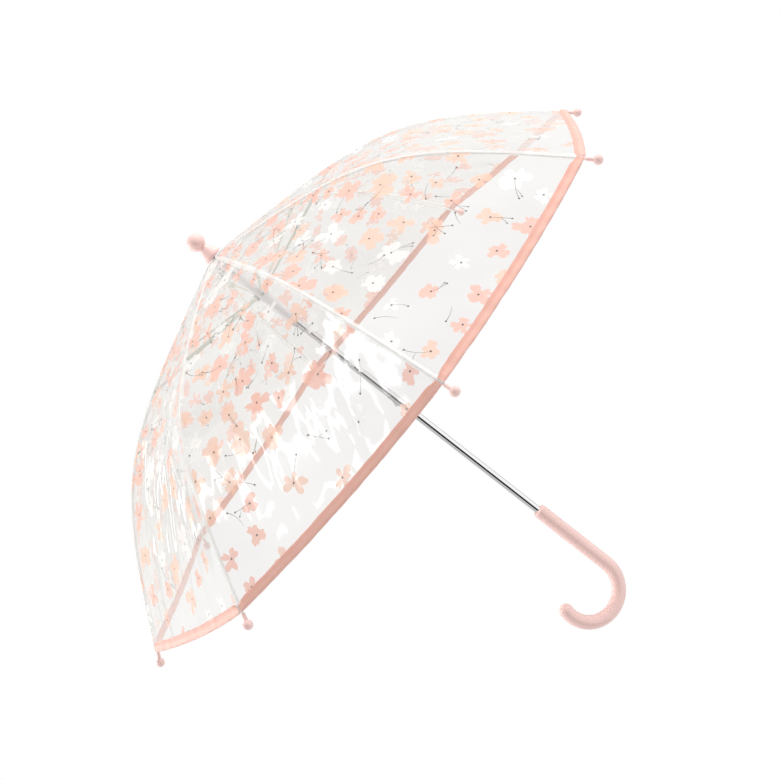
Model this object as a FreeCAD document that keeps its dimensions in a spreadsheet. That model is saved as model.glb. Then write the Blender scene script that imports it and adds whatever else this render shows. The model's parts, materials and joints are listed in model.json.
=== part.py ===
import FreeCAD, Part
import math
import os

# A child's dome umbrella, open, standing on its shaft: +Z runs up the shaft to the finial, the origin is the
# centre of the straight hand grip, and the J hook lies in the XZ plane, on the +X side.

vec = FreeCAD.Vector
UP = vec(0, 0, 1)
SIDES = 8
STEP_ANGLE = 360.0 / SIDES
HALF_GORE = math.radians(STEP_ANGLE / 2)
ARC_TOLERANCE = 0.1
HALVINGS = 50
CUT_THROUGH = 10.0
ALONG_X = vec(1, 0, 0)
HINGE_WAY = vec(0, 1, 0)

doc = FreeCAD.newDocument("childrens_umbrella")
sheet = doc.addObject("Spreadsheet::Sheet", "dimensions")

# Driving dimensions in millimetres and degrees. Heights called "rise" are above the rim plane.
DIMENSIONS = [
    ("rim_radius", 350.0),
    ("rim_height", 281.0),
    ("apex_radius", 7.0),
    ("apex_rise", 194.4),
    ("shoulder_radius", 209.7),
    ("shoulder_rise", 149.0),
    ("flank_radius", 230.0),
    ("flank_rise", 143.4),
    ("rib_phase", -7.9),
    ("film_thickness", 0.3),
    ("film_gap", 0.75),
    ("seam_gap", 0.2),
    ("film_top_radius", 8.0),
    ("binding_width", 9.0),
    ("binding_thickness", 1.3),
    ("binding_corner_play", 0.1),
    ("rib_rod_radius", 1.2),
    ("tip_ball_radius", 4.5),
    ("tip_reach", 12.0),
    ("tip_neck_radius", 2.1),
    ("tip_neck_length", 11.0),
    ("tip_neck_wall", 0.4),
    ("tip_hole_past_neck", 5.0),
    ("hinge_radius", 7.5),
    ("hinge_rise", 181.5),
    ("joint_radius", 143.0),
    ("film_contact_radius", 60.0),
    ("eye_radius", 1.6),
    ("eye_hole_radius", 0.7),
    ("eye_width", 1.8),
    ("tongue_height", 2.0),
    ("tongue_length", 4.0),
    ("tongue_overlap", 1.0),
    ("wire_radius", 0.6),
    ("boss_radius", 1.6),
    ("boss_width", 2.6),
    ("rivet_radius", 0.6),
    ("rivet_head_radius", 1.1),
    ("rivet_head_height", 0.5),
    ("rivet_play", 0.1),
    ("fork_gap", 0.25),
    ("fork_ear_width", 0.8),
    ("fork_ear_radius", 1.4),
    ("fork_hole_radius", 0.7),
    ("fork_length", 12.0),
    ("fork_bridge_length", 2.0),
    ("stretcher_radius", 1.1),
    ("shaft_radius", 4.0),
    ("shaft_wall", 0.8),
    ("shaft_top_rise", 211.0),
    ("shaft_in_grip", 62.0),
    ("crown_radius", 9.5),
    ("crown_hub_radius", 5.6),
    ("crown_below_hinge", 4.0),
    ("crown_top_rise", 192.8),
    ("crown_lid", 2.0),
    ("crown_top_inset", 1.4),
    ("slot_width", 3.0),
    ("slot_above_hinge", 2.4),
    ("washer_radius", 9.0),
    ("washer_rise", 195.1),
    ("washer_height", 1.2),
    ("skirt_base_radius", 10.0),
    ("skirt_neck_radius", 4.6),
    ("skirt_height", 14.0),
    ("finial_lip", 2.0),
    ("skirt_step", 0.6),
    ("finial_ball_radius", 9.25),
    ("finial_ball_rise", 218.0),
    ("runner_bore_radius", 4.15),
    ("runner_radius", 5.75),
    ("runner_top_rise", 166.0),
    ("runner_bottom_rise", 92.5),
    ("runner_ring_height", 8.0),
    ("runner_ring_floor", 1.5),
    ("runner_foot_radius", 6.8),
    ("runner_foot_height", 5.0),
    ("stop_radius", 0.8),
    ("stop_length", 10.8),
    ("stop_rise", 167.4),
    ("catch_width", 1.8),
    ("catch_height", 12.0),
    ("catch_reach", 2.4),
    ("catch_leaf_height", 34.0),
    ("catch_leaf_thickness", 0.6),
    ("catch_leaf_play", 0.3),
    ("catch_slot_width", 2.4),
    ("catch_slot_height", 15.0),
    ("top_catch_rise", 86.0),
    ("bottom_catch_rise", -39.5),
    ("grip_radius", 7.75),
    ("grip_length", 96.0),
    ("hook_radius", 34.2),
    ("hook_angle", 194.5),
    ("grip_edge", 2.5),
]
for row, (alias, value) in enumerate(DIMENSIONS, start=1):
    sheet.set(f"A{row}", alias)
    sheet.set(f"B{row}", str(value))
    sheet.setAlias(f"B{row}", alias)
doc.recompute()
ALIASES = {alias for alias, _ in DIMENSIONS}


def size(alias):
    """A driving dimension as a plain number."""
    return float(sheet.get(alias))


def bind(item, **formulas):
    """Bind properties to formulas in the sheet's aliases; a double underscore stands for a dot."""
    for name, formula in formulas.items():
        words = formula.split()
        linked = " ".join(f"dimensions.{w}" if w in ALIASES else w for w in words)
        item.setExpression(name.replace("__", "."), linked)
    return item


def solid(kind, name, **formulas):
    """A Part primitive whose sizes follow the sheet."""
    return bind(doc.addObject(f"Part::{kind}", name), **formulas)


def feature(body, kind, name, **formulas):
    """A PartDesign primitive in a body, with its sizes following the sheet."""
    return bind(body.newObject(f"PartDesign::{kind}", name), **formulas)


def cut(name, base, tool):
    result = doc.addObject("Part::Cut", name)
    result.Base = base
    result.Tool = tool
    return result


NODES = []


def node(item, label):
    """Mark an object as one of the umbrella's pieces; its label names its file."""
    item.Label = label
    NODES.append(item)
    return item


def shaped(label, shape, azimuth=0.0):
    """A piece whose outline is a space curve or a trimmed sheet, turned about the shaft to its azimuth."""
    item = doc.addObject("Part::Feature", label + "_shape")
    item.Shape = shape.removeSplitter()
    item.Placement = FreeCAD.Placement(vec(), FreeCAD.Rotation(UP, azimuth))
    return node(item, label)


# ---------------------------------------------------------------------------------------------------------
# Shaft: a hollow steel tube from inside the grip to inside the finial, slotted for the two spring catches.
# ---------------------------------------------------------------------------------------------------------

def make_shaft():
    body = doc.addObject("PartDesign::Body", "shaft_body")
    feature(body, "AdditiveCylinder", "shaft_outside", Radius="shaft_radius",
            Height="rim_height + shaft_top_rise - grip_length / 2 + shaft_in_grip",
            Placement__Base__z="grip_length / 2 - shaft_in_grip")
    feature(body, "SubtractiveCylinder", "shaft_bore", Radius="shaft_radius - shaft_wall",
            Height="rim_height + shaft_top_rise - grip_length / 2 + shaft_in_grip",
            Placement__Base__z="grip_length / 2 - shaft_in_grip")
    for place in ("top", "bottom"):
        feature(body, "SubtractiveBox", f"{place}_catch_slot", Length="shaft_radius + shaft_wall",
                Width="catch_slot_width", Height="catch_slot_height",
                Placement__Base__y="-1 * catch_slot_width / 2",
                Placement__Base__z=f"rim_height + {place}_catch_rise - catch_slot_height / 2")
    feature(body, "SubtractiveCylinder", "stop_hole", Radius="stop_radius", Height="stop_length",
            Placement__Base__x="-1 * stop_length / 2",
            Placement__Base__z="rim_height + stop_rise + stop_radius").Placement.Rotation = (
                FreeCAD.Rotation(vec(0, 1, 0), 90))
    return node(body, "shaft")


# The runner stop is a small pin across the shaft, just above the open runner.
def make_runner_stop():
    pin = solid("Cylinder", "stop_pin", Radius="stop_radius", Height="stop_length",
                Placement__Base__x="-1 * stop_length / 2",
                Placement__Base__z="rim_height + stop_rise + stop_radius")
    pin.Placement.Rotation = FreeCAD.Rotation(vec(0, 1, 0), 90)
    return node(pin, "runner_stop")


# Each catch is a sloped nose that stands out of the shaft's slot, on a flat spring leaf inside the tube.
# The square end of the nose faces the runner that it holds: up on the top catch, down on the bottom one.
def make_catch(place, square_end):
    reach = size("shaft_radius") + size("catch_reach")
    bore = size("shaft_radius") - size("shaft_wall")
    inside = bore - size("catch_leaf_thickness") - size("catch_leaf_play")
    middle = size("rim_height") + size(f"{place}_catch_rise")
    half = size("catch_height") / 2
    square = middle + square_end * half
    sloped = middle - square_end * half
    nose = Part.makePolygon([vec(inside, 0, square), vec(reach, 0, square), vec(inside, 0, sloped),
                             vec(inside, 0, square)])
    width = size("catch_width")
    leaf = Part.makeBox(size("catch_leaf_thickness"), width, size("catch_leaf_height"),
                        vec(inside - size("catch_leaf_thickness"), 0, middle - size("catch_leaf_height") / 2))
    shape = Part.Face(nose).extrude(vec(0, width, 0)).fuse(leaf)
    shape.translate(vec(0, -width / 2, 0))
    return shaped(f"{place}_catch", shape)


# ---------------------------------------------------------------------------------------------------------
# Crown: a slotted plastic hub fixed at the top of the shaft. The ribs hang in its slots on a wire ring.
# ---------------------------------------------------------------------------------------------------------

def add_slots(body, first, height_formula, base_formula):
    """Radial slots through a hub, one for each rib, as a polar pattern of one cut."""
    slot = feature(body, "SubtractiveBox", first, Length="crown_radius", Width="slot_width",
                   Height=height_formula, Placement__Base__z=base_formula)
    turn = math.radians(size("rib_phase"))
    hub = size("crown_hub_radius")
    half = size("slot_width") / 2
    slot.Placement = FreeCAD.Placement(
        vec(hub * math.cos(turn) + half * math.sin(turn), hub * math.sin(turn) - half * math.cos(turn), 0),
        FreeCAD.Rotation(UP, size("rib_phase")))
    doc.recompute()
    pattern = body.newObject("PartDesign::PolarPattern", first + "_pattern")
    pattern.Originals = [slot]
    axis = [f for f in body.Origin.OriginFeatures if f.Role == "Z_Axis"][0]
    pattern.Axis = (axis, [""])
    pattern.Angle = 360
    pattern.Occurrences = SIDES
    body.Tip = pattern
    return pattern


def make_crown():
    body = doc.addObject("PartDesign::Body", "crown_body")
    feature(body, "AdditiveCylinder", "crown_drum", Radius="crown_radius",
            Height="crown_below_hinge + slot_above_hinge + crown_lid",
            Placement__Base__z="rim_height + hinge_rise - crown_below_hinge")
    feature(body, "AdditiveCone", "crown_dome", Radius1="crown_radius",
            Radius2="washer_radius - crown_top_inset",
            Height="crown_top_rise - hinge_rise - slot_above_hinge - crown_lid",
            Placement__Base__z="rim_height + hinge_rise + slot_above_hinge + crown_lid")
    feature(body, "SubtractiveCylinder", "crown_bore", Radius="shaft_radius",
            Height="crown_top_rise - hinge_rise + crown_below_hinge",
            Placement__Base__z="rim_height + hinge_rise - crown_below_hinge")
    add_slots(body, "crown_slot", "crown_below_hinge + slot_above_hinge",
              "rim_height + hinge_rise - crown_below_hinge")
    feature(body, "SubtractiveTorus", "crown_wire_groove", Radius1="hinge_radius", Radius2="wire_radius",
            Placement__Base__z="rim_height + hinge_rise")
    return node(body, "crown")


def make_wire(label, height):
    ring = solid("Torus", label + "_ring", Radius1="hinge_radius", Radius2="wire_radius",
                 Placement__Base__z=f"rim_height + {height}")
    return node(ring, label)


# ---------------------------------------------------------------------------------------------------------
# Washer and finial: the washer presses the canopy's centre on the crown; the finial is a ball on a skirt.
# ---------------------------------------------------------------------------------------------------------

def make_washer():
    disc = solid("Cylinder", "washer_disc", Radius="washer_radius", Height="washer_height",
                 Placement__Base__z="rim_height + washer_rise")
    hole = solid("Cylinder", "washer_hole", Radius="shaft_radius", Height="washer_height",
                 Placement__Base__z="rim_height + washer_rise")
    return node(cut("washer_cut", disc, hole), "top_washer")


def make_finial():
    body = doc.addObject("PartDesign::Body", "finial_body")
    base = "rim_height + washer_rise + washer_height"
    feature(body, "AdditiveCylinder", "finial_lip_ring", Radius="skirt_base_radius", Height="finial_lip",
            Placement__Base__z=base)
    feature(body, "AdditiveCone", "finial_skirt", Radius1="skirt_base_radius - skirt_step",
            Radius2="skirt_neck_radius", Height="skirt_height - finial_lip",
            Placement__Base__z=base + " + finial_lip")
    ball = feature(body, "AdditiveSphere", "finial_ball", Radius="finial_ball_radius",
                   Placement__Base__z="rim_height + finial_ball_rise")
    ball.Angle1 = -90
    ball.Angle2 = 90
    feature(body, "SubtractiveCylinder", "finial_bore", Radius="shaft_radius",
            Height="shaft_top_rise - washer_rise - washer_height",
            Placement__Base__z=base)
    return node(body, "finial")


# ---------------------------------------------------------------------------------------------------------
# Handle: a straight grip and a J hook of one bar, blind-bored for the shaft.
# ---------------------------------------------------------------------------------------------------------

def make_handle():
    half = size("grip_length") / 2
    hook = size("hook_radius")
    radius = size("grip_radius")
    turn = math.radians(size("hook_angle"))
    centre = vec(hook, 0, -half)
    halfway = centre + vec(-hook * math.cos(turn / 2), 0, -hook * math.sin(turn / 2))
    end = centre + vec(-hook * math.cos(turn), 0, -hook * math.sin(turn))
    grip_line = Part.makeLine(vec(0, 0, half), vec(0, 0, -half))
    hook_arc = Part.Arc(vec(0, 0, -half), halfway, end).toShape()
    spine = Part.Wire([grip_line, hook_arc])
    section = Part.Wire([Part.makeCircle(radius, vec(0, 0, half), UP)])
    bar = spine.makePipeShell([section], True, True)
    bar = bar.fuse(Part.makeSphere(radius, end)).removeSplitter()
    top_edges = [e for e in bar.Edges if e.BoundBox.ZMin > half - 0.01]
    bar = bar.makeFillet(size("grip_edge"), top_edges)
    bore = Part.makeCylinder(size("shaft_radius"), size("shaft_in_grip"), vec(0, 0, half), -UP)
    return shaped("handle", bar.cut(bore))


# ---------------------------------------------------------------------------------------------------------
# Runner: a sleeve that slides on the shaft, with a slotted ring that carries the stretchers.
# ---------------------------------------------------------------------------------------------------------

def make_runner(runner_rise):
    body = doc.addObject("PartDesign::Body", "runner_body")
    feature(body, "AdditiveCylinder", "runner_sleeve", Radius="runner_radius",
            Height="runner_top_rise - runner_bottom_rise",
            Placement__Base__z="rim_height + runner_bottom_rise")
    feature(body, "AdditiveCylinder", "runner_ring", Radius="crown_radius", Height="runner_ring_height",
            Placement__Base__z=f"rim_height + {runner_rise} - runner_ring_height / 2")
    feature(body, "AdditiveCylinder", "runner_foot", Radius="runner_foot_radius",
            Height="runner_foot_height", Placement__Base__z="rim_height + runner_bottom_rise")
    feature(body, "SubtractiveCylinder", "runner_bore", Radius="runner_bore_radius",
            Height="runner_top_rise - runner_bottom_rise",
            Placement__Base__z="rim_height + runner_bottom_rise")
    add_slots(body, "runner_slot", "runner_ring_height - runner_ring_floor",
              f"rim_height + {runner_rise} - runner_ring_height / 2 + runner_ring_floor")
    feature(body, "SubtractiveTorus", "runner_wire_groove", Radius1="hinge_radius", Radius2="wire_radius",
            Placement__Base__z=f"rim_height + {runner_rise}")
    return node(body, "runner")


# ---------------------------------------------------------------------------------------------------------
# Rib line: one curve in the plane of a rib, from the crown to the rim. The film, the seams and the ribs all
# follow it, each at its own depth below the outer face.
# ---------------------------------------------------------------------------------------------------------

def rim_curve(depth, squeeze=1.0):
    """The canopy's profile, set in by a depth; squeeze narrows it from a rib's plane to a gore's middle."""
    outline = [("apex_radius", "apex_rise"), ("shoulder_radius", "shoulder_rise"),
               ("flank_radius", "flank_rise"), ("rim_radius", None)]
    poles = []
    for radius, rise in outline:
        height = size("rim_height") + (size(rise) if rise else 0.0)
        poles.append(vec(size(radius) * squeeze, 0, height))
    curve = Part.BezierCurve()
    curve.setPoles(poles)
    if not depth:
        return curve
    start = curve.tangent(0)[0]
    end = curve.tangent(1)[0]
    shoulder = (start + end).normalize()
    ways = [start, shoulder, shoulder, end]
    inset = Part.BezierCurve()
    inset.setPoles([p + vec(w.z, 0, -w.x) * depth for p, w in zip(poles, ways)])
    return inset


def at_radius(curve, radius):
    """The curve's parameter where it is that far from the shaft."""
    low, high = 0.0, 1.0
    for _ in range(HALVINGS):
        middle = (low + high) / 2
        if curve.value(middle).x < radius:
            low = middle
        else:
            high = middle
    return (low + high) / 2


def rod(points_wire, radius):
    """A round rod along a wire that starts level, pointing along +X."""
    start = points_wire.OrderedVertexes[0].Point
    section = Part.Wire([Part.makeCircle(radius, start, ALONG_X)])
    return points_wire.makePipeShell([section], True, False)


def across(centre, radius, width):
    """A short cylinder on a hinge's axis, centred on the rib's plane."""
    return Part.makeCylinder(radius, width, centre - HINGE_WAY * (width / 2), HINGE_WAY)


def tongue(eye):
    """The flat end of a rod that starts level: the eye and a plate from it that overlaps the rod."""
    width = size("eye_width")
    height = size("tongue_height")
    plate = Part.makeBox(size("tongue_length") + size("tongue_overlap"), width, height,
                         eye - vec(0, width / 2, height / 2))
    return plate.fuse(across(eye, size("eye_radius"), width))


FILM_TO_ROD = size("film_thickness") + size("film_gap") + size("rib_rod_radius")
RIB_CURVE = rim_curve(FILM_TO_ROD)
CROWN_EYE = vec(size("hinge_radius"), 0, size("rim_height") + size("hinge_rise"))
JOINT_AT = at_radius(RIB_CURVE, size("joint_radius"))
RIB_JOINT = RIB_CURVE.value(JOINT_AT)
# The stretcher is as long as the rib from eye to joint, so the runner's pivots stay over the crown's.
RUNNER_EYE = vec(CROWN_EYE.x, 0, 2 * RIB_JOINT.z - CROWN_EYE.z)
RUNNER_RISE = RUNNER_EYE.z - size("rim_height")


def make_rib_shape():
    touch = at_radius(RIB_CURVE, size("film_contact_radius"))
    contact = RIB_CURVE.value(touch)
    along = RIB_CURVE.tangent(touch)[0]
    reach = (contact - CROWN_EYE).Length
    lead = Part.BezierCurve()
    tongue_end = CROWN_EYE + vec(size("tongue_length"), 0, 0)
    lead.setPoles([tongue_end, tongue_end + vec(reach / 3, 0, 0), contact - along * (reach / 3), contact])
    outer = RIB_CURVE.copy()
    outer.segment(touch, 1.0)
    arcs = [arc.toShape() for curve in (lead, outer) for arc in curve.toBSpline().toBiArcs(ARC_TOLERANCE)]
    rim_end = RIB_CURVE.value(1.0)
    out = RIB_CURVE.tangent(1.0)[0]
    tail = Part.makeLine(rim_end, rim_end + out * size("tip_reach"))
    line = Part.Wire(Part.__sortEdges__(arcs + [tail]))
    shape = rod(line, size("rib_rod_radius"))
    shape = shape.fuse(tongue(CROWN_EYE))
    shape = shape.fuse(across(RIB_JOINT, size("boss_radius"), size("boss_width")))
    shape = shape.cut(across(CROWN_EYE, size("eye_hole_radius"), CUT_THROUGH))
    return shape.cut(across(RIB_JOINT, size("rivet_radius"), CUT_THROUGH))


def make_tip_shape():
    out = RIB_CURVE.tangent(1.0)[0]
    ball_centre = RIB_CURVE.value(1.0) + out * size("tip_reach")
    ball = Part.makeSphere(size("tip_ball_radius"), ball_centre)
    neck = Part.makeCone(size("rib_rod_radius") + size("tip_neck_wall"), size("tip_neck_radius"),
                         size("tip_neck_length"), ball_centre - out * size("tip_neck_length"), out)
    depth = size("tip_neck_length") + size("tip_hole_past_neck")
    hole = Part.makeCylinder(size("rib_rod_radius"), depth, ball_centre - out * depth, out)
    return ball.fuse(neck).cut(hole)


def fork_half_width():
    return size("rib_rod_radius") + size("fork_gap") + size("fork_ear_width")


def make_rivet_shape():
    half = fork_half_width() + size("rivet_play")
    head = size("rivet_head_height")
    shape = across(RIB_JOINT, size("rivet_radius"), 2 * half)
    for side in (-1, 1):
        shift = vec(0, side * (half + head / 2), 0)
        shape = shape.fuse(across(RIB_JOINT + shift, size("rivet_head_radius"), head))
    return shape


def make_stretcher_shape():
    """Built along +X from the runner's eye at the origin, then laid on the line to the rib joint."""
    span = (RIB_JOINT - RUNNER_EYE).Length
    ear = size("fork_ear_width")
    inner = size("rib_rod_radius") + size("fork_gap")
    fork = size("fork_length")
    radius = size("stretcher_radius")
    start = size("tongue_length")
    shape = Part.makeCylinder(radius, span - fork - start, vec(start, 0, 0), ALONG_X)
    shape = shape.fuse(tongue(vec()))
    bridge_length = size("fork_bridge_length")
    bridge = Part.makeBox(bridge_length, 2 * fork_half_width(), 2 * radius,
                          vec(span - fork - bridge_length / 2, -fork_half_width(), -radius))
    shape = shape.fuse(bridge)
    for side in (-1, 1):
        near = inner if side > 0 else -inner - ear
        arm = Part.makeBox(fork, ear, 2 * radius, vec(span - fork, near, -radius))
        shape = shape.fuse(arm)
        ear_middle = vec(span, near + ear / 2, 0)
        shape = shape.fuse(across(ear_middle, size("fork_ear_radius"), ear))
    shape = shape.cut(across(vec(), size("eye_hole_radius"), CUT_THROUGH))
    shape = shape.cut(across(vec(span, 0, 0), size("fork_hole_radius"), CUT_THROUGH))
    rise = RIB_JOINT - RUNNER_EYE
    tilt = math.degrees(math.atan2(-rise.z, rise.x))
    shape.Placement = FreeCAD.Placement(RUNNER_EYE, FreeCAD.Rotation(HINGE_WAY, tilt))
    return shape


# ---------------------------------------------------------------------------------------------------------
# Canopy: eight gores of clear film, each curved one way and trimmed to the seams, with a hem binding.
# ---------------------------------------------------------------------------------------------------------

def strip(depth_low, depth_high, first, last, width):
    """A curved strip between two depths below the outer face, as wide as the whole gore at the rim."""
    squeeze = math.cos(HALF_GORE)
    upper = rim_curve(depth_high, squeeze)
    lower = rim_curve(depth_low, squeeze)
    upper.segment(first, last)
    lower.segment(first, last)
    ends = [Part.makeLine(upper.value(upper.LastParameter), lower.value(lower.LastParameter)),
            Part.makeLine(lower.value(lower.FirstParameter), upper.value(upper.FirstParameter))]
    edges = Part.__sortEdges__([upper.toShape(), ends[0], lower.toShape(), ends[1]])
    face = Part.Face(Part.Wire(edges))
    face.translate(vec(0, -width / 2, 0))
    return face.extrude(vec(0, width, 0))


def wedge(gap):
    """The space between two neighbouring seams, set in from each by a gap."""
    apex = gap / math.sin(HALF_GORE)
    far = size("rim_radius") / math.cos(HALF_GORE) ** 2
    spread = (far - apex) * math.tan(HALF_GORE)
    corners = [vec(apex, 0, 0), vec(far, -spread, 0), vec(far, spread, 0), vec(apex, 0, 0)]
    return Part.Face(Part.makePolygon(corners)).extrude(vec(0, 0, 2 * size("rim_height")))


def make_gore_shape():
    first = at_radius(rim_curve(0), size("film_top_radius"))
    sheet_strip = strip(size("film_thickness"), 0.0, first, 1.0, size("rim_radius"))
    return sheet_strip.common(wedge(size("seam_gap")))


def make_binding_shape(gore):
    """A folded tape: the film's last few millimetres inside a thicker strip."""
    profile = rim_curve(0, math.cos(HALF_GORE))
    length = profile.length()
    first = profile.parameterAtDistance(length - size("binding_width"), 0.0)
    over = (size("binding_thickness") - size("film_thickness")) / 2
    tape = strip(size("film_thickness") + over, -over, first, 1.0, size("rim_radius"))
    corner_gap = size("rib_rod_radius") + size("film_gap") + size("binding_corner_play")
    return tape.common(wedge(corner_gap)).cut(gore)


def main():
    make_shaft()
    make_runner_stop()
    make_catch("top", 1)
    make_catch("bottom", -1)
    make_crown()
    make_wire("crown_wire", "hinge_rise")
    make_washer()
    make_finial()
    make_handle()
    runner_rise = f"{RUNNER_RISE:.6f}"
    make_runner(runner_rise)
    make_wire("runner_wire", runner_rise)
    gore = make_gore_shape()
    shapes = {
        "rib": make_rib_shape(),
        "rib_tip": make_tip_shape(),
        "rib_rivet": make_rivet_shape(),
        "stretcher": make_stretcher_shape(),
    }
    between = {"gore": gore, "hem_binding": make_binding_shape(gore)}
    for k in range(SIDES):
        azimuth = size("rib_phase") + STEP_ANGLE * k
        for label, shape in shapes.items():
            shaped(f"{label}_{k + 1}", shape, azimuth)
        for label, shape in between.items():
            shaped(f"{label}_{k + 1}", shape, azimuth + STEP_ANGLE / 2)
    doc.recompute()
    for item in doc.Objects:
        if "Invalid" in item.State or "Error" in item.State:
            raise RuntimeError(f"{item.Name} failed: {item.State}")
    for item in NODES:
        if item.Shape.isNull() or not item.Shape.isValid() or item.Shape.Volume <= 0:
            raise RuntimeError(f"{item.Label} has no sound shape")
    os.makedirs("parts", exist_ok=True)
    for item in NODES:
        item.Shape.exportStep(f"parts/{item.Label}.step")
    for name, point in (("crown eye", CROWN_EYE), ("rib joint", RIB_JOINT), ("runner eye", RUNNER_EYE)):
        print(f"{name}: radius {point.x:.4f}, height {point.z:.4f}")
    rim_end = RIB_CURVE.value(1.0)
    ball = rim_end + RIB_CURVE.tangent(1.0)[0] * size("tip_reach")
    print(f"tip ball: radius {ball.x:.4f}, height {ball.z:.4f}")


main()
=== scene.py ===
import json
import math
import random

import bpy
from mathutils import Euler, Matrix, Vector, noise


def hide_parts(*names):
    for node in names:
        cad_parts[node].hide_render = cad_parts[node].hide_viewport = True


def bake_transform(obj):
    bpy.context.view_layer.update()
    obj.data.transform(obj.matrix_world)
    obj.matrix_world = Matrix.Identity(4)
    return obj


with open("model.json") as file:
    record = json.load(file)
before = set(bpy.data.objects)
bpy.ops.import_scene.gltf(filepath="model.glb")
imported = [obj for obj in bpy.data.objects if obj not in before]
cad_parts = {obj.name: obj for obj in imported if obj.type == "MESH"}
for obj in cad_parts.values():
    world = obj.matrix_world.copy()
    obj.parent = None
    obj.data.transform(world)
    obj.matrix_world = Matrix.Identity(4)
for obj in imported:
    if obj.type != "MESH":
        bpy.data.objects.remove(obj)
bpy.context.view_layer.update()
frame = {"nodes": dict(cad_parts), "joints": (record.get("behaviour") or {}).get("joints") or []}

MM = 0.001

# The first rib's hinge in the CAD frame says which way the ribs point.
JOINTS = {joint["name"]: joint for joint in frame["joints"]}
HINGE = Vector(JOINTS["rib_1_hinge"]["pos_m"])
PHASE = math.atan2(HINGE.y, HINGE.x)
SIDES = 8
STEP = math.tau / SIDES
HALF = STEP / 2

# The canopy's outline over a rib, as the four poles (radius, rise above the rim) of one Bezier curve, in
# millimetres; the rim's height is in metres.
OUTLINE = [(7.0, 194.4), (209.7, 149.0), (230.0, 143.4), (350.0, 0.0)]
RIM_Z = 0.281

# The film hangs slack between the ribs, drops at the hem and carries small folds.
HEM_DROP = 4.5 * MM
SAG = 5.0 * MM
WRINKLE = 0.8 * MM

# The tape over the hem; it stops just short of the ribs.
BINDING_WIDTH = 9.0 * MM
BINDING_REACH = 0.992


# ------------------------------------------------------------------------------------------------ geometry

def outline_point(u):
    """Radius and height of the canopy over a rib, u from 0 at the crown to 1 at the rim."""
    weights = ((1 - u) ** 3, 3 * u * (1 - u) ** 2, 3 * u * u * (1 - u), u ** 3)
    radius = sum(w * p[0] for w, p in zip(weights, OUTLINE)) * MM
    rise = sum(w * p[1] for w, p in zip(weights, OUTLINE)) * MM
    return radius, RIM_Z + rise


def gore_middle(u):
    radius, height = outline_point(u)
    return Vector((radius * math.cos(HALF), 0, height))


def arc_table(count=400):
    """Arc length down the middle of a gore at even steps of u."""
    lengths = [0.0]
    before = gore_middle(0)
    for i in range(1, count + 1):
        here = gore_middle(i / count)
        lengths.append(lengths[-1] + (here - before).length)
        before = here
    return lengths


ARC = arc_table()
GORE_LENGTH = ARC[-1]


def u_at(length):
    """The outline's parameter at an arc length down the middle of a gore; it runs on past the rim."""
    if length >= GORE_LENGTH:
        return 1.0 + (length - GORE_LENGTH) / (ARC[-1] - ARC[-2]) / (len(ARC) - 1)
    low, high = 0, len(ARC) - 1
    while high - low > 1:
        middle = (low + high) // 2
        if ARC[middle] <= length:
            low = middle
        else:
            high = middle
    share = (length - ARC[low]) / (ARC[high] - ARC[low])
    return (low + share) / (len(ARC) - 1)


def half_width(u):
    return outline_point(u)[0] * math.sin(HALF)


def azimuth_matrix(angle):
    return Euler((0, 0, angle)).to_matrix()


def smooth(low, high, x):
    t = max(0.0, min(1.0, (x - low) / (high - low)))
    return t * t * (3 - 2 * t)


def crease(gore, length, across, share):
    """How far the film stands off its plain surface: folds that run down the gore and ripples by the hem."""
    to_rim = smooth(0.30, 0.95, length / GORE_LENGTH)
    seed = 7.3 * gore
    folds = abs(noise.noise(Vector((across * 34 + length * 5 + seed, length * 5, seed))))
    fine = abs(noise.noise(Vector((across * 70 + length * 16 + seed, length * 15, seed + 5))))
    swirl = noise.noise(Vector((across * 24 + seed, length * 20, seed + 9)))
    height = 1.5 * folds * (0.30 + 0.70 * to_rim) + 0.9 * fine * (0.1 + 0.9 * to_rim) + 0.5 * swirl * to_rim
    edge = (1 - smooth(0.90, 1.0, abs(share))) * (1 - 0.65 * smooth(0.2, 0.8, share))
    return WRINKLE * height * edge * smooth(0.0, 0.12, length / GORE_LENGTH)


def film_point(gore, length, share, lift=0.0):
    """A point of a gore's film: length down from the crown, share from -1 to 1 across, lift off the surface."""
    drop = HEM_DROP * (1 - share * share) * smooth(0.80, 1.0, length / GORE_LENGTH)
    u = u_at(length + drop)
    base = gore_middle(u)
    ahead = (gore_middle(u + 0.002) - gore_middle(u - 0.002)).normalized()
    normal = Vector((-ahead.z, 0, ahead.x))
    across = share * half_width(u)
    sink = smooth(0.05, 0.5, length / GORE_LENGTH) * (1 - 0.9 * smooth(0.65, 1.0, length / GORE_LENGTH))
    slack = SAG * (1 - abs(share) ** 3) * sink
    stand = crease(gore, length, across, share) + lift - slack
    flat = base + Vector((0, across, 0)) + normal * stand
    return azimuth_matrix(PHASE + STEP * (gore - 0.5)) @ flat


def mesh_object(name, points, faces, material, slots=None):
    mesh = bpy.data.meshes.new(name)
    mesh.from_pydata(points, [], faces)
    materials = material if isinstance(material, list) else [material]
    for one in materials:
        mesh.materials.append(one)
    for i, polygon in enumerate(mesh.polygons):
        polygon.use_smooth = True
        if slots:
            polygon.material_index = slots[i]
    made = bpy.data.objects.new(name, mesh)
    bpy.context.scene.collection.objects.link(made)
    return made


def grid_faces(rows, columns, closed=False, first=0):
    faces = []
    for i in range(rows - 1):
        for j in range(columns if closed else columns - 1):
            right = (j + 1) % columns
            faces.append((first + i * columns + j, first + i * columns + right,
                          first + (i + 1) * columns + right, first + (i + 1) * columns + j))
    return faces


def fold_with_gore(piece, gore):
    """Bakes the piece's transform into its mesh; the two hem corners it works out are not used."""
    corner = [film_point(gore, GORE_LENGTH, side) for side in (-1, 1)]
    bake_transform(piece)


# ----------------------------------------------------------------------------------------------- materials

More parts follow.
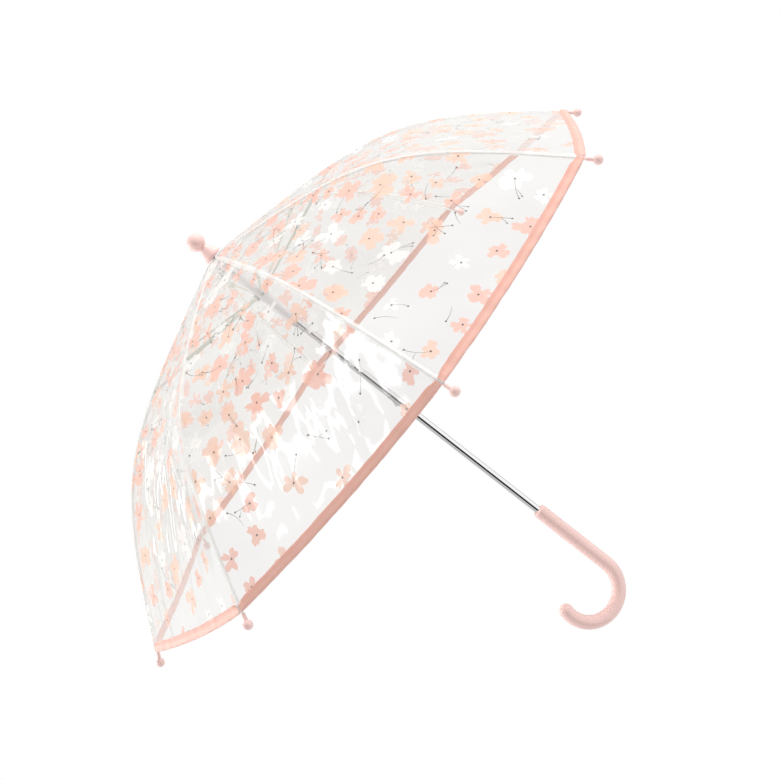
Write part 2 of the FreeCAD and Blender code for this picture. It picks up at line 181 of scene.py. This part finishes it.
class Shader:
    """A node material under construction."""

    def __init__(self, name):
        self.material = bpy.data.materials.new(name)
        self.material.use_nodes = True
        self.tree = self.material.node_tree
        self.tree.nodes.clear()
        self.output = self.tree.nodes.new("ShaderNodeOutputMaterial")

    def node(self, kind, **inputs):
        made = self.tree.nodes.new("ShaderNode" + kind)
        for name, value in inputs.items():
            key = int(name[1:]) if name[0] == "_" and name[1:].isdigit() else name.replace("_", " ")
            self.set(made, key, value)
        return made

    def set(self, made, key, value):
        if isinstance(value, bpy.types.NodeSocket):
            self.tree.links.new(value, made.inputs[key])
        else:
            made.inputs[key].default_value = value

    def finish(self, surface):
        self.tree.links.new(surface, self.output.inputs["Surface"])
        return self.material

    def noise(self, scale, detail=2.0, vector=None, rough=0.5):
        made = self.node("TexNoise", Scale=scale, Detail=detail, Roughness=rough)
        place = vector or self.node("TexCoord").outputs["Object"]
        self.tree.links.new(place, made.inputs["Vector"])
        return made

    def ramp(self, fac, stops):
        made = self.node("ValToRGB", Fac=fac)
        ramp = made.color_ramp
        while len(ramp.elements) < len(stops):
            ramp.elements.new(0.5)
        for element, (place, colour) in zip(ramp.elements, stops):
            element.position = place
            element.color = colour
        return made.outputs["Color"]

    def bump(self, height, strength, distance):
        return self.node("Bump", Height=height, Strength=strength, Distance=distance).outputs["Normal"]


    def compute(self, operation, *values):
        """A sum on up to three values or sockets."""
        made = self.node("Math")
        made.operation = operation
        for i, value in enumerate(values):
            self.set(made, i, value)
        return made.outputs[0]


def grey(value):
    return (value, value, value, 1)


def wet(s, body):
    """The film's wet gloss over what lies under it; both of its sides share it."""
    ripple = s.noise(30.0, 1.0, rough=0.4)
    normal = s.bump(ripple.outputs["Fac"], 0.12, 0.002)
    gloss = s.node("BsdfAnisotropic", Color=grey(1.0), Roughness=0.05, Normal=normal)
    tilt = s.node("LayerWeight", Blend=0.5, Normal=normal).outputs["Facing"]
    mirror = s.compute("MULTIPLY_ADD", s.compute("POWER", tilt, 4.5), 0.80, 0.055)
    return s.node("MixShader", _0=mirror, _1=body, _2=gloss.outputs[0]).outputs[0]


HAZE = (0.83, 0.82, 0.80, 1)


def clear_film():
    """Thin clear film: a faint tint and haze that deepen edge on, under a wet gloss."""
    s = Shader("clear_film")
    edge_on = s.node("LayerWeight", Blend=0.5).outputs["Facing"]
    cloud = s.noise(11.0, 2.0).outputs["Fac"]
    clear = s.ramp(cloud, [(0.32, (0.90, 0.88, 0.885, 1)), (0.66, (0.975, 0.965, 0.95, 1))])
    tint = s.node("MixRGB", _0=edge_on, _1=clear, _2=(0.93, 0.925, 0.905, 1)).outputs[0]
    through = s.node("BsdfTransparent", Color=tint)
    veil = s.node("MixShader", _0=0.5, _1=s.node("BsdfDiffuse", Color=HAZE).outputs[0],
                  _2=s.node("BsdfTranslucent", Color=HAZE).outputs[0])
    thick = s.compute("MULTIPLY_ADD", s.compute("MULTIPLY", edge_on, edge_on), 0.44, 0.12)
    hazy = s.node("MixShader", _0=thick, _1=through.outputs[0], _2=veil.outputs[0])
    return s.finish(wet(s, hazy.outputs[0]))


def ink(name, colour, dark, cover):
    """Printed ink: a soft, slightly uneven colour that lets some light through."""
    s = Shader(name)
    mottle = s.noise(260.0, 3.0)
    tone = s.ramp(mottle.outputs["Fac"], [(0.3, dark), (0.7, colour)])
    diffuse = s.node("BsdfDiffuse", Color=tone)
    glow = s.node("BsdfTranslucent", Color=tone)
    body = s.node("MixShader", _0=0.5, _1=diffuse.outputs[0], _2=glow.outputs[0])
    clear = s.node("BsdfTransparent", Color=grey(1.0))
    return s.finish(s.node("MixShader", _0=cover, _1=clear.outputs[0], _2=wet(s, body.outputs[0])).outputs[0])


def plastic(name, colour, dark, roughness, coat):
    """Moulded plastic: faint colour drift and a fine surface ripple under a clear gloss."""
    s = Shader(name)
    drift = s.noise(38.0, 3.0)
    tone = s.ramp(drift.outputs["Fac"], [(0.25, dark), (0.75, colour)])
    fine = s.noise(70.0, 1.0)
    shade = s.node("BsdfPrincipled", Base_Color=tone, Roughness=roughness, Coat_Weight=coat,
                   Coat_Roughness=0.12, Normal=s.bump(fine.outputs["Fac"], 0.04, 0.0003))
    return s.finish(shade.outputs[0])


def metal(name, bright, dark, roughness):
    """Plated or drawn metal: fine lines along the piece and faint clouding."""
    s = Shader(name)
    place = s.node("TexCoord").outputs["Object"]
    stretched = s.node("Mapping", Vector=place, Scale=(900.0, 900.0, 14.0)).outputs[0]
    lines = s.noise(1.0, 2.0, stretched)
    tone = s.ramp(lines.outputs["Fac"], [(0.3, dark), (0.7, bright)])
    shade = s.node("BsdfPrincipled", Base_Color=tone, Metallic=1.0, Roughness=roughness,
                   Normal=s.bump(lines.outputs["Fac"], 0.02, 0.0002))
    return s.finish(shade.outputs[0])


def tape():
    """Satin woven tape, with painted shade along its stitched fold."""
    s = Shader("binding_tape")
    flat = s.node("UVMap").outputs["UV"]
    weave = s.node("TexWave", Vector=flat, Scale=260.0, Distortion=1.2, Detail=1.0)
    weave.bands_direction = "X"
    drift = s.noise(60.0, 3.0)
    tone = s.ramp(drift.outputs["Fac"], [(0.25, (0.89, 0.55, 0.46, 1)), (0.75, (0.94, 0.61, 0.52, 1))])
    across = s.node("SeparateXYZ", Vector=flat).outputs["Y"]
    place = s.node("MapRange", Value=across, From_Max=2 * BINDING_WIDTH).outputs[0]
    # Painted shade: a darker band mixed into the tape's colour near its stitched fold.
    painted_fold_shade = s.ramp(place, [(0.0, grey(0.15)), (0.07, grey(0.75)), (0.15, grey(0.75)), (0.21, grey(0.0))])
    tone = s.node("MixRGB", _0=painted_fold_shade, _1=tone, _2=(0.80, 0.45, 0.37, 1)).outputs[0]
    shade = s.node("BsdfPrincipled", Base_Color=tone, Roughness=0.45, Sheen_Weight=0.3,
                   Sheen_Roughness=0.4, Normal=s.bump(weave.outputs["Fac"], 0.2, 0.0002))
    glow = s.node("BsdfTranslucent", Color=tone)
    return s.finish(s.node("MixShader", _0=0.25, _1=shade.outputs[0], _2=glow.outputs[0]).outputs[0])


def welded_seam():
    """The doubled film over a rib: milky and slightly uneven."""
    s = Shader("welded_seam")
    mottle = s.noise(90.0, 1.0)
    tone = s.ramp(mottle.outputs["Fac"], [(0.2, (0.89, 0.89, 0.875, 1)), (0.8, (0.96, 0.96, 0.95, 1))])
    through = s.node("BsdfTransparent", Color=tone)
    milk = s.node("BsdfPrincipled", Base_Color=(0.98, 0.98, 0.97, 1), Roughness=0.10)
    return s.finish(s.node("MixShader", _0=0.42, _1=through.outputs[0], _2=milk.outputs[0]).outputs[0])


PINK = plastic("pink_gloss", (0.88, 0.61, 0.57, 1), (0.85, 0.58, 0.54, 1), 0.30, 0.7)
RUNNER_GREY = plastic("runner_grey", (0.80, 0.80, 0.81, 1), (0.74, 0.74, 0.76, 1), 0.35, 0.2)
ROD = plastic("rib_rod", (0.98, 0.98, 0.97, 1), (0.95, 0.95, 0.94, 1), 0.30, 0.8)
ARM = plastic("stretcher_rod", (0.60, 0.63, 0.54, 1), (0.54, 0.57, 0.48, 1), 0.5, 0.1)
CHROME = metal("chrome", (0.93, 0.93, 0.94, 1), (0.90, 0.90, 0.91, 1), 0.05)
WIRE = metal("drawn_wire", (0.70, 0.70, 0.70, 1), (0.55, 0.55, 0.56, 1), 0.28)
FILM = clear_film()
TAPE = tape()
SEAM = welded_seam()
SALMON = ink("ink_salmon", (1.0, 0.60, 0.49, 1), (0.97, 0.56, 0.46, 1), 0.76)
PEACH = ink("ink_peach", (1.0, 0.68, 0.53, 1), (0.98, 0.64, 0.50, 1), 0.72)
WHITE = ink("ink_white", (1.0, 0.995, 0.98, 1), (0.98, 0.975, 0.96, 1), 0.60)
STEM = ink("ink_stem", (0.16, 0.16, 0.15, 1), (0.10, 0.10, 0.09, 1), 0.85)


def paint_frame():
    """Gives every CAD node that stays in sight its own material."""
    finishes = {"shaft": CHROME, "crown": RUNNER_GREY, "crown_wire": WIRE, "top_washer": PINK, "finial": PINK,
                "handle": PINK, "runner_stop": WIRE, "top_catch": WIRE, "bottom_catch": WIRE,
                "runner": RUNNER_GREY, "runner_wire": WIRE, "rib": ROD, "rib_tip": PINK, "rib_rivet": WIRE,
                "stretcher": ARM}
    for name, item in frame["nodes"].items():
        kind = name.rstrip("0123456789").rstrip("_")
        finish = finishes.get(name) or finishes.get(kind)
        if finish:
            item.data.materials.clear()
            item.data.materials.append(finish)


# -------------------------------------------------------------------------------------------------- canopy

def film_object(gore):
    """One gore of clear film, from under the washer to the hem."""
    rows, columns = 130, 57
    top = 2.0 * MM
    points, shares = [], []
    for i in range(rows):
        length = top + (GORE_LENGTH - top) * i / (rows - 1)
        for j in range(columns):
            share = 2 * j / (columns - 1) - 1
            points.append(film_point(gore, length, share))
            shares.append(share)
    film = mesh_object(f"film_{gore}", points, grid_faces(rows, columns), FILM)
    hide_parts(f"gore_{gore}")
    fold_with_gore(film, gore)
    return film


class Print:
    """Collects printed shapes on one gore, drawn flat in metres: down the gore and across it."""

    def __init__(self, gore):
        self.gore = gore
        self.points = []
        self.shares = []
        self.held = []
        self.faces = []
        self.slots = []
        self.count = 0
        self.layer = 0

    def add_point(self, down, across):
        """Adds a point, held back at the seams and the hem, and notes whether it had to be."""
        down, wanted = max(PRINT_TOP, min(PRINT_END, down)), down
        share = across / half_width(u_at(down))
        self.held.append(down != wanted or abs(share) > PRINT_SHARE)
        share = max(-PRINT_SHARE, min(PRINT_SHARE, share))
        lift = PRINT_LIFT + self.layer * LAYER_LIFT + (self.count % 8) * LAYER_LIFT / 10
        self.points.append(film_point(self.gore, down, share, lift))
        self.shares.append(share)
        return len(self.points) - 1

    def add_faces(self, faces, slot):
        """Keeps the faces that no held point has flattened."""
        for face in faces:
            if not all(self.held[point] for point in face):
                self.faces.append(face)
                self.slots.append(slot)

    def disc(self, down, across, radii, slot, rings):
        """A star-shaped patch: its edge's distance at even turns, filled in by rings."""
        self.count += 1
        self.layer = LAYERS[slot]
        centre = self.add_point(down, across)
        turns = len(radii)
        first = len(self.points)
        for ring in range(1, rings + 1):
            for i, radius in enumerate(radii):
                angle = math.tau * i / turns
                reach = radius * ring / rings
                self.add_point(down + reach * math.cos(angle), across + reach * math.sin(angle))
        fan = [(centre, first + (i + 1) % turns, first + i) for i in range(turns)]
        self.add_faces(fan + grid_faces(rings, turns, True, first), slot)

    def ribbon(self, line, width, slot):
        """A thin curved line through flat points."""
        self.count += 1
        self.layer = LAYERS[slot]
        first = len(self.points)
        for i, (down, across) in enumerate(line):
            before = line[max(0, i - 1)]
            after = line[min(len(line) - 1, i + 1)]
            way = Vector((after[0] - before[0], after[1] - before[1])).normalized()
            thin = width * (0.45 + 0.55 * i / (len(line) - 1))
            for side in (-0.5, 0.5):
                self.add_point(down - way.y * thin * side, across + way.x * thin * side)
        self.add_faces(grid_faces(len(line), 2, False, first), slot)


SEAM_TOP = 3.0 * MM
PRINT_TOP = 8.0 * MM
PRINT_END = GORE_LENGTH - 0.9 * BINDING_WIDTH
PRINT_SHARE = 0.985
PRINT_LIFT = 0.15 * MM
LAYER_LIFT = 0.05 * MM
EDGE_TURNS = 60
NICK_WIDTH = 0.16
INKS = [SALMON, PEACH, WHITE, STEM]
SALMON_SLOT, PEACH_SLOT, WHITE_SLOT, STEM_SLOT = range(len(INKS))
LAYERS = {WHITE_SLOT: 0, PEACH_SLOT: 1, SALMON_SLOT: 2, STEM_SLOT: 4}


def petal_edge(rng, radius):
    """The edge of one blossom: four to six uneven petals, broad with nicks or slim and pointed."""
    petals = rng.choice((4, 5, 5, 6))
    slim = rng.random() < 0.35
    start = rng.uniform(0, math.tau)
    made = []
    for i in range(petals):
        angle = start + math.tau * (i + rng.uniform(-0.30, 0.30)) / petals
        wide = (0.98 if slim else rng.uniform(0.78, 1.25)) * math.pi / petals
        made.append((angle, rng.uniform(0.55, 1.0), wide,
                     rng.choice((0.0, 0.0, 0.14, 0.26)), rng.uniform(-0.4, 0.4)))
    middle = rng.uniform(0.16, 0.24) if slim else rng.uniform(0.34, 0.48)
    squash, lean = rng.uniform(0.66, 1.0), rng.uniform(0, math.pi)
    sharp, round_off = (2.2, 0.75) if slim else (3.5, 0.55)
    edge = []
    for i in range(EDGE_TURNS):
        turn = math.tau * i / EDGE_TURNS
        reach = middle
        for angle, long, wide, nick, side in made:
            off = (turn - angle + math.pi) % math.tau - math.pi
            x = abs(off) / wide
            if x < 1:
                notch = nick * math.exp(-((off / wide - side) / NICK_WIDTH) ** 2)
                reach = max(reach, long * (1 - x ** sharp) ** round_off * (1 - notch))
        flat = math.hypot(math.cos(turn - lean), squash * math.sin(turn - lean))
        edge.append(radius * reach * flat * rng.uniform(0.965, 1.035))
    return edge


def arc_line(start, heading, length, bend, steps=12):
    """A flat curved line from a start point."""
    line = [start]
    for i in range(steps):
        angle = heading + bend * (i / steps)
        line.append((line[-1][0] + length / steps * math.cos(angle),
                     line[-1][1] + length / steps * math.sin(angle)))
    return line


DOT_RADIUS = 0.95 * MM
DOT_TURNS = 12
STEM_WIDTH = 0.5 * MM


def add_dot(sheet, place, radius):
    sheet.disc(place[0], place[1], [radius] * DOT_TURNS, STEM_SLOT, 1)


def add_stem(sheet, rng, place, reach):
    """A thin curved stem that ends in a dot, sometimes forked."""
    heading = rng.uniform(0, math.tau)
    bend = rng.uniform(-0.9, 0.9)
    line = arc_line(place, heading, reach, bend)
    sheet.ribbon(line, STEM_WIDTH, STEM_SLOT)
    add_dot(sheet, line[-1], DOT_RADIUS)
    if rng.random() < 0.4:
        fork = arc_line(line[6], heading + rng.choice((-0.7, 0.7)), reach * 0.45, -bend)
        sheet.ribbon(fork, STEM_WIDTH, STEM_SLOT)
        add_dot(sheet, fork[-1], DOT_RADIUS * 0.8)


def inside(down, across, margin):
    """True where a shape of that reach stays on its gore."""
    if not PRINT_TOP + margin < down < PRINT_END - margin:
        return False
    return abs(across) + margin < half_width(u_at(down))


BLOSSOM_TRIES = 1400
LOOSE_STEMS = 16
FIRST_SEED = 40


def print_object(gore):
    """The scattered blossom print of one gore: thick near the crown and sparser towards the hem."""
    rng = random.Random(FIRST_SEED + gore)
    sheet = Print(gore)
    placed = []
    for _ in range(BLOSSOM_TRIES):
        down = rng.uniform(PRINT_TOP, GORE_LENGTH)
        across = rng.uniform(-1, 1) * half_width(1.0)
        radius = rng.uniform(11.5, 20.0) * MM
        openness = 0.66 + 0.42 * smooth(0.45, 0.95, down / GORE_LENGTH)
        if not inside(down, across, -radius * 0.45):
            continue
        if any(math.hypot(down - d, across - a) < (radius + r) * openness for d, a, r in placed):
            continue
        placed.append((down, across, radius))
        pick = rng.random()
        slot = SALMON_SLOT if pick < 0.46 else PEACH_SLOT if pick < 0.78 else WHITE_SLOT
        sheet.disc(down, across, petal_edge(rng, radius), slot, 3)
        if inside(down, across, DOT_RADIUS):
            add_dot(sheet, (down, across), DOT_RADIUS)
        if rng.random() < 0.30 and inside(down, across, radius):
            add_stem(sheet, rng, (down, across), radius * rng.uniform(1.1, 1.7))
    for _ in range(LOOSE_STEMS):
        down = rng.uniform(0.06, GORE_LENGTH - 0.03)
        across = rng.uniform(-0.8, 0.8) * half_width(u_at(down))
        if inside(down, across, 0.022):
            add_stem(sheet, rng, (down, across), rng.uniform(14, 24) * MM)
    made = mesh_object(f"print_{gore}", sheet.points, sheet.faces, INKS, sheet.slots)
    fold_with_gore(made, gore)
    return made


def binding_object(gore):
    """The tape folded over the hem: an outer leaf, a rolled edge and an inner leaf, gathered at the ribs."""
    columns = 121
    profile = [(-BINDING_WIDTH, 0.55 * MM), (-BINDING_WIDTH * 0.94, 0.95 * MM), (-BINDING_WIDTH * 0.55, 1.0 * MM),
               (-1.6 * MM, 0.95 * MM), (-0.2 * MM, 0.7 * MM), (0.7 * MM, 0.0), (-0.2 * MM, -0.7 * MM),
               (-1.6 * MM, -0.95 * MM), (-BINDING_WIDTH * 0.55, -1.0 * MM),
               (-BINDING_WIDTH * 0.94, -0.95 * MM), (-BINDING_WIDTH, -0.55 * MM)]
    points, shares, places = [], [], []
    for j in range(columns):
        share = BINDING_REACH * (2 * j / (columns - 1) - 1)
        gather = smooth(0.90, 1.0, abs(share))
        pleat = 0.45 * MM * gather * math.sin(share * 260) + 0.22 * MM * math.sin(share * 41 + gore)
        for i, (back, lift) in enumerate(profile):
            narrow = 1 - 0.25 * gather
            stand = lift + pleat * (1 if lift > 0 else -1)
            points.append(film_point(gore, GORE_LENGTH + back * narrow, share, stand))
            shares.append(share)
            places.append((share * half_width(1.0), i / len(profile) * 2 * BINDING_WIDTH))
    made = mesh_object(f"binding_{gore}", points, grid_faces(columns, len(profile), True), TAPE)
    flat = made.data.uv_layers.new(name="flat")
    for loop in made.data.loops:
        flat.data[loop.index].uv = places[loop.vertex_index]
    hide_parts(f"hem_binding_{gore}")
    fold_with_gore(made, gore)
    return made


def seam_object(gore, side):
    """Half of a welded seam: the strip of doubled film along one edge of a gore, over the rib there."""
    rows = 90
    profile = [(-0.22, 0.72), (0.0, 0.75), (1.5, 0.62), (2.9, 0.50), (3.1, 0.15)]
    points = []
    for i in range(rows):
        length = SEAM_TOP + (GORE_LENGTH - SEAM_TOP) * i / (rows - 1)
        u = u_at(length)
        narrow = 0.55 + 0.45 * smooth(0.0, 0.10, u)
        for inward, lift in profile:
            share = side * (1 - inward * MM * narrow / half_width(u))
            points.append(film_point(gore, length, share, lift * MM))
    name = "left" if side < 0 else "right"
    made = mesh_object(f"seam_{name}_{gore}", points, grid_faces(rows, len(profile)), SEAM)
    fold_with_gore(made, gore)
    return made


def canopy():
    for gore in range(1, SIDES + 1):
        film = film_object(gore)
        blossoms = print_object(gore)
        binding = binding_object(gore)
        seams = [seam_object(gore, side) for side in (-1, 1)]


# --------------------------------------------------------------------------------------------------- stage

# The camera's place in metres, its turn in degrees and its lens in millimetres.
CAMERA_PLACE = (0.3423, 1.4518, 0.5073)
CAMERA_TURN = (74.432, 50.930, 154.394)
LENS = 67.82

# Broad soft lights that the film doesn't mirror: name, start and end (azimuth, elevation), brightness.
SIDE_LIGHTS = [("key", (146, 38), (190, 38), 9.5), ("side_key", (-60, 20), (-16, 20), 8.0)]
SIDE_BREADTH = 1.2
SIDE_DISTANCE = 2.0

# Narrow lights that the film mirrors: name, start and end, breadth in metres, brightness.
STRIP_LIGHTS = [("seam_strip", (-2, 63.5), (36, 54.5), 0.026, 5.0), ("hem_band", (26, 50), (36, 52.5), 0.04, 4.0),
                ("fold_light_1", (25, 66), (20, 54), 0.05, 6.0), ("fold_light_2", (7, 66), (11, 54), 0.04, 6.0),
                ("side_strip", (-70, 31), (-60, 14), 0.03, 3.0)]
STRIP_DISTANCE = 1.6
LIGHT_AIM = Vector((0, 0, 0.35))

FLOOR_HALF = 12.0
FLOOR_Z = -0.45

# What mirrors see round the room, once round from -X: (share of the turn, grey).
FLAGS = [(0.0, 0.95), (0.060, 0.95), (0.066, 0.04), (0.106, 0.04), (0.112, 0.8), (0.285, 0.8), (0.290, 0.5),
         (0.312, 0.5), (0.318, 0.85), (0.38, 0.8), (0.41, 0.52), (0.605, 0.58), (0.622, 0.01), (0.748, 0.01),
         (0.762, 1.0), (1.0, 1.0)]
CEILING = grey(0.60)
ROOM_LIGHT = grey(0.62)


def make_camera():
    data = bpy.data.cameras.new("camera")
    data.lens = LENS
    data.sensor_width = 36.0
    camera = bpy.data.objects.new("camera", data)
    camera.location = CAMERA_PLACE
    camera.rotation_euler = [math.radians(a) for a in CAMERA_TURN]
    bpy.context.scene.collection.objects.link(camera)
    bpy.context.scene.camera = camera


def direction(azimuth, elevation):
    turn = Euler((0, -math.radians(elevation), math.radians(azimuth)))
    return turn.to_matrix() @ Vector((1, 0, 0))


def softbox(name, start, end, breadth, brightness, distance, mirrored):
    """A light that runs between two directions (azimuth, elevation) and faces the canopy's middle."""
    first = direction(*start) * distance
    last = direction(*end) * distance
    middle = (first + last) / 2
    along = (last - first).normalized()
    back = (middle - along * middle.dot(along)).normalized()
    data = bpy.data.lights.new(name, "AREA")
    data.shape = "RECTANGLE"
    data.size = (last - first).length
    data.size_y = breadth
    data.energy = brightness * math.pi * data.size * data.size_y
    lamp = bpy.data.objects.new(name, data)
    lamp.location = middle + LIGHT_AIM
    lamp.rotation_euler = Matrix((along, back.cross(along), back)).transposed().to_euler()
    lamp.visible_camera = False
    lamp.visible_glossy = mirrored
    bpy.context.scene.collection.objects.link(lamp)


def make_floor():
    s = Shader("pale_floor")
    paint = s.node("Emission", Color=grey(1.0), Strength=1.0)
    material = s.finish(paint.outputs[0])
    turns = [(-1, -1), (1, -1), (1, 1), (-1, 1)]
    corners = [(FLOOR_HALF * x, FLOOR_HALF * y, FLOOR_Z) for x, y in turns]
    floor = mesh_object("floor", corners, [(0, 1, 2, 3)], material)
    floor.visible_glossy = False


def make_world():
    """White where the camera looks past the object; mirrors see a white room with dark flags in it."""
    world = bpy.data.worlds.new("studio")
    world.use_nodes = True
    tree = world.node_tree
    tree.nodes.clear()
    add = tree.nodes.new
    link = tree.links.new
    place = add("ShaderNodeTexCoord")
    parts = add("ShaderNodeSeparateXYZ")
    link(place.outputs["Generated"], parts.inputs[0])
    angle = add("ShaderNodeMath")
    angle.operation = "ARCTAN2"
    link(parts.outputs["Y"], angle.inputs[0])
    link(parts.outputs["X"], angle.inputs[1])
    turn = add("ShaderNodeMapRange")
    turn.inputs["From Min"].default_value = -math.pi
    turn.inputs["From Max"].default_value = math.pi
    link(angle.outputs[0], turn.inputs["Value"])
    flags = add("ShaderNodeValToRGB")
    while len(flags.color_ramp.elements) < len(FLAGS):
        flags.color_ramp.elements.new(0.5)
    for element, (at, value) in zip(flags.color_ramp.elements, FLAGS):
        element.position = at
        element.color = grey(value)
    link(turn.outputs[0], flags.inputs["Fac"])
    level = add("ShaderNodeMapRange")
    level.inputs["From Min"].default_value = 0.25
    level.inputs["From Max"].default_value = 0.55
    link(parts.outputs["Z"], level.inputs["Value"])
    dome = add("ShaderNodeMixRGB")
    dome.inputs[2].default_value = CEILING
    link(level.outputs[0], dome.inputs[0])
    link(flags.outputs[0], dome.inputs[1])
    rays = add("ShaderNodeLightPath")
    seen = add("ShaderNodeBackground")
    seen.inputs["Color"].default_value = grey(1.0)
    mirrored = add("ShaderNodeBackground")
    link(dome.outputs[0], mirrored.inputs["Color"])
    room = add("ShaderNodeBackground")
    room.inputs["Color"].default_value = ROOM_LIGHT
    gloss = add("ShaderNodeMixShader")
    link(rays.outputs["Is Glossy Ray"], gloss.inputs[0])
    link(room.outputs[0], gloss.inputs[1])
    link(mirrored.outputs[0], gloss.inputs[2])
    final = add("ShaderNodeMixShader")
    link(rays.outputs["Is Camera Ray"], final.inputs[0])
    link(gloss.outputs[0], final.inputs[1])
    link(seen.outputs[0], final.inputs[2])
    output = add("ShaderNodeOutputWorld")
    link(final.outputs[0], output.inputs["Surface"])
    bpy.context.scene.world = world


def main():
    bpy.context.scene.view_settings.view_transform = "Standard"
    paint_frame()
    canopy()
    make_floor()
    make_world()
    for name, start, end, brightness in SIDE_LIGHTS:
        softbox(name, start, end, SIDE_BREADTH, brightness, SIDE_DISTANCE, False)
    for name, start, end, breadth, brightness in STRIP_LIGHTS:
        softbox(name, start, end, breadth, brightness, STRIP_DISTANCE, True)
    make_camera()


main()
